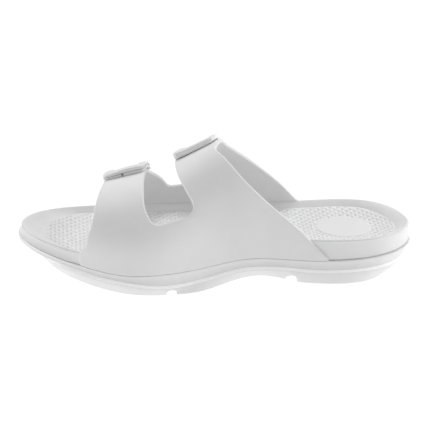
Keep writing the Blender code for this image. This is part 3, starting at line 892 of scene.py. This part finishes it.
def section_mesh(name, sections, closed=False, joined=None, least=None):
    """Build a mesh from a row of equal closed sections, which may itself close."""
    count, size = sections.shape[:2]
    index = np.arange(count * size).reshape(count, size)
    if closed:
        index = np.concatenate([index, index[:1]])
    after = np.roll(index, -1, axis=1)
    faces = np.stack([index[:-1], after[:-1], after[1:], index[1:]], axis=-1).reshape(-1, 4)
    mesh = bpy.data.meshes.new(name)
    mesh.from_pydata(sections.reshape(-1, 3).tolist(), [], faces.tolist())
    tidy_mesh(mesh, joined, least)
    return mesh


# Upper

# Radius of the straps' edges, and of the foot's edges past a turn
EDGE_ROUND = 0.0012
FOOT_ROUND = 0.0004
FOOT_TURN = 94.0
FOOT_TURN_REACH = 4.0
CORNER_MOST = 0.3
BLEND_TURN = 45.0

# Steps away from an edge: rows in degrees, columns as shares of the edge's radius
ROW_STEPS = (0.0, 0.15, 0.5, 1.0, 1.7, 2.5)
BRIDGE_STEPS = (0.0, 0.08, 0.26, 0.5, 0.8, 1.15)
CORNER_STEPS = (0.0, 0.07, 0.25, 0.6, 1.1, 1.7, 2.4, 3.2, 4.1, 5.1, 6.2)
COLUMN_STEPS = (0.0, 0.06, 0.22, 0.45, 0.72, 1.0)
STRAP_COLUMNS = 44
GAP_COLUMNS = 14


def skin(x, turn):
    """Return the upper's outer face at places along the foot and turns round the arch.

    Past 90 degrees either way the face runs straight down the footbed's wall.
    """
    x = np.asarray(x, dtype=float)
    turn = np.broadcast_to(np.asarray(turn, dtype=float), x.shape)
    along = along_of(x)
    side = np.where(turn >= 0, 1.0, -1.0)
    crest_side = crest_side_at(along)
    reach = np.abs(rim_side(x, side) + side * UPPER_STEP - crest_side)
    rim = rim_height(x)
    fall = np.clip((np.abs(turn) - 90.0) / (APRON_TURN - 90.0), 0.0, 1.0)
    low = groove_height(x) + SEAM * 2.0
    blend = smooth((turn + BLEND_TURN) / (2.0 * BLEND_TURN))
    power = outer_round_at(along) * (1.0 - blend) + inner_round_at(along) * blend
    angle = np.radians(np.minimum(np.abs(turn), 90.0))
    y = crest_side + side * reach * np.sin(angle) ** (2.0 / power)
    rise = crest_height_at(along) - rim
    cosine = np.maximum(np.cos(angle), 0.0)
    z = rim + rise * cosine ** (2.0 / power) + (low - rim) * fall
    return np.stack([x, y, z], axis=-1)


def skin_normal(x, turn):
    """Return the directions that point out of the upper's outer face."""
    turn_step = 0.5
    step = 0.0005
    across = skin(x, turn + turn_step) - skin(x, turn - turn_step)
    run = skin(x + step, turn) - skin(x - step, turn)
    normal = np.cross(run, across)
    return normal / np.linalg.norm(normal, axis=-1, keepdims=True)


def gap_corner(x, turn, width):
    """Return how far a rounded corner draws the gap's edge in near its end."""
    radius = min(GAP_CORNER, CORNER_MOST * width)
    if not GAP_OUTER_TURN <= turn <= GAP_INNER_TURN:
        return radius
    end = GAP_INNER_TURN if turn > 0 else GAP_OUTER_TURN
    depth = np.linalg.norm(skin(x, turn) - skin(x, end))
    short = max(radius - depth, 0.0)
    return radius - math.sqrt(radius ** 2 - short ** 2)


def eased_places(start, end, count):
    """Return places between two edges, close together near both of them."""
    near = np.array(COLUMN_STEPS) * EDGE_ROUND * 1.05
    middle = np.linspace(start + near[-1], end - near[-1], count)
    return np.concatenate([start + near[:-1], middle, end - near[:-1][::-1]])


def upper_row(turn):
    """Return the places along the foot of one row, in three groups."""
    rear = place_of(float(rear_edge_at(turn)))
    front = place_of(float(front_edge_at(turn)))
    gap_start = place_of(float(gap_rear_at(turn)))
    gap_end = place_of(float(gap_front_at(turn)))
    corner = gap_corner((gap_start + gap_end) / 2.0, turn, gap_end - gap_start)
    gap_start += corner
    gap_end -= corner
    return (
        eased_places(rear, gap_start, STRAP_COLUMNS),
        np.linspace(gap_start, gap_end, GAP_COLUMNS)[1:-1],
        eased_places(gap_end, front, STRAP_COLUMNS),
    )


def upper_turns():
    """Return the rows' turns from the outer apron over the crest to the inner one."""
    turns = [-APRON_TURN + step for step in ROW_STEPS]
    turns += list(np.linspace(-96.5, -80.0, 26))
    turns += list(np.linspace(-79.0, GAP_OUTER_TURN - 1.8, 7))
    turns += [GAP_OUTER_TURN - step for step in reversed(BRIDGE_STEPS[1:])]
    turns += [GAP_OUTER_TURN + step for step in CORNER_STEPS]
    turns += list(np.linspace(GAP_OUTER_TURN + 7.5, GAP_INNER_TURN - 7.5, 76))
    turns += [GAP_INNER_TURN - step for step in reversed(CORNER_STEPS)]
    turns += [GAP_INNER_TURN + step for step in BRIDGE_STEPS[1:]]
    turns += list(np.linspace(GAP_INNER_TURN + 2.2, 80.0, 14))
    turns += list(np.linspace(81.0, 96.5, 26))
    turns += [APRON_TURN - step for step in reversed(ROW_STEPS)]
    return turns


def boundary_distance(points, faces):
    """Return each point's distance from the sheet's open edges."""
    uses = {}
    for face in faces:
        for k in range(4):
            edge = tuple(sorted((face[k], face[(k + 1) % 4])))
            uses[edge] = uses.get(edge, 0) + 1
    open_edges = [edge for edge, count in uses.items() if count == 1]
    tree = KDTree(len(open_edges) * 5)
    number = 0
    for first, second in open_edges:
        for share in (0.0, 0.2, 0.4, 0.6, 0.8):
            tree.insert(Vector(points[first] + (points[second] - points[first]) * share), number)
            number += 1
    tree.balance()
    return np.array([tree.find(Vector(point))[2] for point in points])


def build_upper(material):
    """Build the bridging shell of two straps with rounded edges and one open gap."""
    places = []
    turns = []
    rows = []
    for turn in upper_turns():
        rear, gap, front = upper_row(turn)
        open_gap = GAP_OUTER_TURN < turn < GAP_INNER_TURN
        row = []
        for group in (rear, [] if open_gap else gap, front):
            row.append(list(range(len(places), len(places) + len(group))))
            places.extend(group)
            turns.extend([turn] * len(group))
        rows.append(row)
    faces = []
    for low, high in zip(rows, rows[1:]):
        strips = [(low[0], high[0]), (low[2], high[2])]
        if low[1] and high[1]:
            strips.append((
                [low[0][-1]] + low[1] + [low[2][0]],
                [high[0][-1]] + high[1] + [high[2][0]],
            ))
        for first, second in strips:
            for k in range(len(first) - 1):
                faces.append((first[k], first[k + 1], second[k + 1], second[k]))
    places = np.array(places)
    turns = np.array(turns)
    outer = skin(places, turns)
    normals = skin_normal(places, turns)
    radius = EDGE_ROUND + (FOOT_ROUND - EDGE_ROUND) * smooth((np.abs(turns) - FOOT_TURN) / FOOT_TURN_REACH)
    near = np.clip(boundary_distance(outer, faces) / radius, 0.0, 1.0)
    sink = radius * (1.0 - np.sqrt(1.0 - (1.0 - near) ** 2))
    face = outer - normals * sink[:, None]
    back = outer - normals * (UPPER_WALL - sink)[:, None]
    item = make_object("upper_straps", sheet_mesh("upper_straps", face, back, faces), material, 40.0)
    cut(item, footbed_space())
    item.data.set_sharp_from_angle(angle=math.radians(BEND_ANGLE))
    return place(item, "upper", "upper_foam")


def sheet_mesh(name, face, back, faces):
    """Build a closed mesh from a sheet's two sides, joined round its open edges."""
    count = len(face)
    edges = {}
    for corners in faces:
        for k in range(4):
            edges[corners[k], corners[(k + 1) % 4]] = True
    all_faces = list(faces)
    all_faces += [tuple(count + corner for corner in reversed(corners)) for corners in faces]
    for first, second in edges:
        if (second, first) not in edges:
            all_faces.append((second, first, first + count, second + count))
    mesh = bpy.data.meshes.new(name)
    mesh.from_pydata(np.concatenate([face, back]).tolist(), [], all_faces)
    tidy_mesh(mesh)
    return mesh


def footbed_space():
    """Make the cutter that leaves room for the footbed's rim inside the upper."""
    rings = [
        ring(0.0, above(rim_height, -SINK), 1.0),
        ring(0.0, above(rim_height, -SINK), 0.4),
        ring(-0.0012, above(rim_height, -SINK)),
        ring(-0.0004, above(rim_height, -0.0004 - SINK)),
        ring(-SINK, above(rim_height, -0.0013)),
        ring(-SINK, above(groove_height, -HEEL_HEIGHT / 4.0)),
        ring(0.0, above(groove_height, -HEEL_HEIGHT / 4.0), 0.4),
        ring(0.0, above(groove_height, -HEEL_HEIGHT / 4.0), 1.0),
    ]
    return make_object("footbed_space", ring_mesh("footbed_space", rings), None)


# Buckles, from the crest down the outer side of each strap

# The frame's bars and corners, and the turns that it spans
BUCKLE_BAR = 0.0050
BUCKLE_CORNER = 0.0035
WINDOW_CORNER = 0.0014
CORNER_POINTS = 9
SIDE_POINTS = 14
BUCKLE_NEAR_TURN = -6.0
BUCKLE_FAR_TURN = -42.0
BUCKLE_BAR_TURNS = 5.5

# A bar's section: its rounds in metres high and as shares of the bar's width, and
# the share of the buckle's length from which it thins both ways
BUCKLE_ROUND = 0.0011
BUCKLE_FOOT = 0.0003
TOP_SHARE = 0.22
FOOT_SHARE = 0.1
THIN_FROM = 0.35

# The front buckle's seam, and the small hole in its near bar
SEAMED_BUCKLE = "buckle_front"
SEAM_HEIGHT = 0.0022
SEAM_HALF = 0.00050
SEAM_SHARE = 0.24
HOLE_RADIUS = 0.0009
HOLE_DEPTH = 0.0032
HOLE_HEIGHT = 0.0013
HOLE_SHARE = 0.53

PIN_RADIUS = 0.0012
PIN_END_TURNS = 6.3
PIN_LIFT = GAP * 1.5
BUCKLES = (
    # name, rear end, front end, slant toward the heel  (shares of the length),
    # lift off the strap, thickness, share of it at the rear end and at the front end
    ("buckle_front", 0.684, 0.792, 0.022, 0.0001, 0.0050, 0.86, 0.66),
    ("buckle_rear", 0.508, 0.610, 0.036, 0.0007, 0.0035, 1.00, 1.20),
)


def buckle_place(rear, front, slant, share, turn):
    """Return places along a buckle, which slants toward the heel on its way down."""
    down = (BUCKLE_NEAR_TURN - turn) / (BUCKLE_NEAR_TURN - BUCKLE_FAR_TURN)
    return place_of(LENGTH * (rear + (front - rear) * share - slant * down))


def frame_loop(half_long, half_wide, radius):
    """Return the points of a rounded rectangle, once round."""
    corners = []
    for number, (ahead, beside) in enumerate(((1, 1), (-1, 1), (-1, -1), (1, -1))):
        angles = np.radians(np.linspace(90.0 * number, 90.0 * (number + 1), CORNER_POINTS))
        centre = np.array([ahead * (half_long - radius), beside * (half_wide - radius)])
        corners.append(centre + radius * np.stack([np.cos(angles), np.sin(angles)], axis=-1))
    points = []
    for corner, following in zip(corners, corners[1:] + corners[:1]):
        points += [corner, np.linspace(corner[-1], following[0], SIDE_POINTS)[1:-1]]
    return np.concatenate(points)


def build_buckle(name, rear, front, slant, lift, thickness, rear_share, front_share, material):
    """Build a bowed frame with one window, curved like the strap below it."""
    seamed = name == SEAMED_BUCKLE
    width = LENGTH * (front - rear)
    turns = BUCKLE_NEAR_TURN - BUCKLE_FAR_TURN
    middle = (BUCKLE_NEAR_TURN + BUCKLE_FAR_TURN) / 2.0
    centre = place_of(LENGTH * (rear + (front - rear) / 2.0 - slant / 2.0))
    span = float(np.linalg.norm(skin(centre, BUCKLE_NEAR_TURN) - skin(centre, BUCKLE_FAR_TURN)))
    bar_across = BUCKLE_BAR_TURNS / turns * span
    outside = frame_loop(width / 2.0, span / 2.0, BUCKLE_CORNER)
    inside = frame_loop(width / 2.0 - BUCKLE_BAR, span / 2.0 - bar_across, WINDOW_CORNER)
    sections = []
    for share, rise in frame_profile(thickness, seamed):
        plan = outside + (inside - outside) * share
        place_share = plan[:, 0] / width + 0.5
        turn = middle + plan[:, 1] / span * turns
        x = buckle_place(rear, front, slant, place_share, turn)
        to_front = smooth((place_share - THIN_FROM) / (1.0 - THIN_FROM))
        to_rear = smooth((THIN_FROM - place_share) / THIN_FROM)
        left = 1.0 - (1.0 - front_share) * to_front - (1.0 - rear_share) * to_rear
        height = lift + rise * left
        sections.append(skin(x, turn) + skin_normal(x, turn) * height[:, None])
    mesh = section_mesh(name + "_frame", np.stack(sections, axis=1), closed=True)
    item = make_object(name + "_frame", mesh, material, BEND_ANGLE)
    if seamed:
        cut(item, hole_cutter(rear, front, slant))
        item.data.set_sharp_from_angle(angle=math.radians(BEND_ANGLE))
    return place(item, name, "buckle_plastic")


def hole_cutter(rear, front, slant):
    """Make a short round bar that sinks the pin's small end hole into the near bar."""
    x = buckle_place(rear, front, slant, HOLE_SHARE, BUCKLE_NEAR_TURN)
    out = skin(x, BUCKLE_NEAR_TURN + 1.0) - skin(x, BUCKLE_NEAR_TURN - 1.0)
    centre = skin(x, BUCKLE_NEAR_TURN) + skin_normal(x, BUCKLE_NEAR_TURN) * HOLE_HEIGHT
    mesh = bpy.data.meshes.new("hole")
    work = bmesh.new()
    bmesh.ops.create_cone(
        work, cap_ends=True, segments=24, radius1=HOLE_RADIUS, radius2=HOLE_RADIUS, depth=HOLE_DEPTH * 2.0)
    turned = Vector(out).to_track_quat("Z", "Y").to_matrix().to_4x4()
    bmesh.ops.transform(work, matrix=Matrix.Translation(Vector(centre)) @ turned, verts=work.verts)
    work.to_mesh(mesh)
    work.free()
    return add_item("hole", mesh)


def frame_profile(thickness, seamed):
    """Return a bar's section: share from the outside in, and rise, once round."""
    top = thickness - BUCKLE_ROUND
    points = []
    if seamed:
        points += [
            (0.0, SEAM_HEIGHT - SEAM_HALF),
            (SEAM_SHARE, SEAM_HEIGHT - SEAM_HALF * 0.6),
            (SEAM_SHARE, SEAM_HEIGHT + SEAM_HALF * 0.6),
            (0.0, SEAM_HEIGHT + SEAM_HALF),
        ]
    rounds = (
        # start angle, end angle, points, middle, half width, height of middle, half height
        (180.0, 90.0, 6, TOP_SHARE, TOP_SHARE, top, BUCKLE_ROUND),
        (90.0, 0.0, 6, 1.0 - TOP_SHARE, TOP_SHARE, top, BUCKLE_ROUND),
        (0.0, -90.0, 4, 1.0 - FOOT_SHARE, FOOT_SHARE, BUCKLE_FOOT, BUCKLE_FOOT),
        (-90.0, -180.0, 4, FOOT_SHARE, FOOT_SHARE, BUCKLE_FOOT, BUCKLE_FOOT),
    )
    for start, end, count, middle, wide, height, high in rounds:
        for angle in np.radians(np.linspace(start, end, count)):
            points.append((middle + wide * math.cos(angle), height + high * math.sin(angle)))
    return points


def build_pin(name, rear, front, slant, material):
    """Build the pin that lies across a buckle's window, on the strap."""
    turns = np.linspace(BUCKLE_NEAR_TURN - PIN_END_TURNS, BUCKLE_FAR_TURN + PIN_END_TURNS, 24)
    x = buckle_place(rear, front, slant, 0.5, turns)
    line = skin(x, turns) + skin_normal(x, turns) * (PIN_RADIUS + PIN_LIFT)
    curve = bpy.data.curves.new(name + "_bar", "CURVE")
    curve.dimensions = "3D"
    curve.bevel_depth = PIN_RADIUS
    curve.bevel_resolution = 5
    curve.use_fill_caps = True
    spline = curve.splines.new("POLY")
    spline.points.add(len(line) - 1)
    for point, spot in zip(spline.points, line):
        point.co = (*spot, 1.0)
    curve.materials.append(material)
    return place(add_item(name + "_bar", curve), name, "buckle_plastic")


# Studio

# The floor gives off light, like a lit table, and so stays white and without shadow
FLOOR_REACH = 6.0
FLOOR_TONE = 0.10
FLOOR_LIGHT = 0.98
WORLD_LIGHT = 0.30
LIGHT_SIZE = 0.9
LIGHT_TARGET = (0.09, 0.0, 0.03)
LIGHTS = (
    # name, place, watts
    ("back_light", (0.10, -0.70, 1.00), 7.2),
    ("toe_light", (1.20, 0.00, 0.50), 4.4),
    ("heel_light", (-1.00, 0.00, 0.50), 7.2),
)

# The camera's lens and its view, fitted to the shoe's outline in the photo
LENS = 169.07
SHIFT_X = 0.01067
SHIFT_Y = -0.00635
AZIMUTH = 4.61
ELEVATION = 22.12
ROLL = -0.42
CAMERA_TARGET = (0.09226, 0.0, 0.040)
CAMERA_DISTANCE = 1.38314


def add_light(name, place_at, power):
    """Add a soft square light that faces the shoe."""
    data = bpy.data.lights.new(name, "AREA")
    data.shape = "SQUARE"
    data.size = LIGHT_SIZE
    data.energy = power
    item = add_item(name, data)
    item.location = place_at
    away = Vector(place_at) - Vector(LIGHT_TARGET)
    item.rotation_euler = away.to_track_quat("Z", "Y").to_euler()


def build_studio():
    """Lay the lit floor, and light the shoe from behind, from its toe and its heel."""
    mesh = bpy.data.meshes.new("floor")
    corners = [(FLOOR_REACH * x, FLOOR_REACH * y, 0.0) for x, y in ((-1, -1), (1, -1), (1, 1), (-1, 1))]
    mesh.from_pydata(corners, [], [(0, 1, 2, 3)])
    floor = add_item("floor", mesh)
    shade = Shader("pale_floor", 0.9)
    shade.shader.inputs["Base Color"].default_value = (FLOOR_TONE, FLOOR_TONE, FLOOR_TONE, 1.0)
    shade.shader.inputs["Emission Color"].default_value = WHITE
    shade.shader.inputs["Emission Strength"].default_value = FLOOR_LIGHT
    shade.shader.inputs["Specular IOR Level"].default_value = 0.0
    mesh.materials.append(shade.material)
    world = bpy.data.worlds.new("studio")
    bpy.context.scene.world = world
    world.use_nodes = True
    sky = world.node_tree.nodes["Background"]
    sky.inputs["Color"].default_value = WHITE
    sky.inputs["Strength"].default_value = WORLD_LIGHT
    bpy.context.scene.view_settings.view_transform = "Standard"
    for name, place_at, power in LIGHTS:
        add_light(name, place_at, power)


def build_camera():
    """Stand the camera where the photo was taken from."""
    data = bpy.data.cameras.new("camera")
    data.sensor_width = 36.0
    data.lens = LENS
    data.shift_x = SHIFT_X
    data.shift_y = SHIFT_Y
    data.clip_start = 0.05
    data.clip_end = 50.0
    camera = add_item("camera", data)
    azimuth = math.radians(AZIMUTH)
    elevation = math.radians(ELEVATION)
    roll = math.radians(ROLL)
    back = Vector((
        math.sin(azimuth) * math.cos(elevation),
        math.cos(azimuth) * math.cos(elevation),
        math.sin(elevation),
    ))
    right = Vector((-math.cos(azimuth), math.sin(azimuth), 0.0))
    up = back.cross(right)
    turned_right = right * math.cos(roll) - up * math.sin(roll)
    turned_up = right * math.sin(roll) + up * math.cos(roll)
    matrix = Matrix((turned_right, turned_up, back)).transposed().to_4x4()
    matrix.translation = Vector(CAMERA_TARGET) + back * CAMERA_DISTANCE
    camera.matrix_world = matrix
    bpy.context.scene.camera = camera


def grey(level):
    """Return a grey of one level in all three colours."""
    return (level, level, level)


def main():
    """Dress the shoe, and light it."""
    sole_foam = foam_material("sole_foam", grey(0.880), grey(0.850), 0.52, 0.00002, 0.00006)
    upper_foam = foam_material("upper_foam", grey(0.880), grey(0.850), 0.56, 0.00002, 0.00005)
    insole_foam = foam_material("insole_foam", grey(0.870), grey(0.835), 0.66, 0.00003, 0.00006)
    # A lighter copy of the foam that glows a little: a painted highlight for the lip's top
    lip_painted_highlight = foam_material("lip_painted_highlight", grey(0.96), grey(0.93), 0.34, 0.00001, 0.00003)
    lip_highlight_shader = lip_painted_highlight.node_tree.nodes["Principled BSDF"]
    lip_highlight_shader.inputs["Emission Color"].default_value = WHITE
    lip_highlight_shader.inputs["Emission Strength"].default_value = LIP_GLOW
    buckle_plastic = plastic_material("buckle_plastic", grey(0.90), grey(0.87), 0.34)
    build_outsole(sole_foam, lip_painted_highlight)
    build_midsole(sole_foam)
    build_footbed(sole_foam)
    build_insole(insole_foam)
    build_upper(upper_foam)
    for name, rear, front, slant, lift, thickness, rear_share, front_share in BUCKLES:
        build_buckle(name, rear, front, slant, lift, thickness, rear_share, front_share, buckle_plastic)
        build_pin(name.replace("buckle", "pin"), rear, front, slant, buckle_plastic)
    build_studio()
    build_camera()


main()
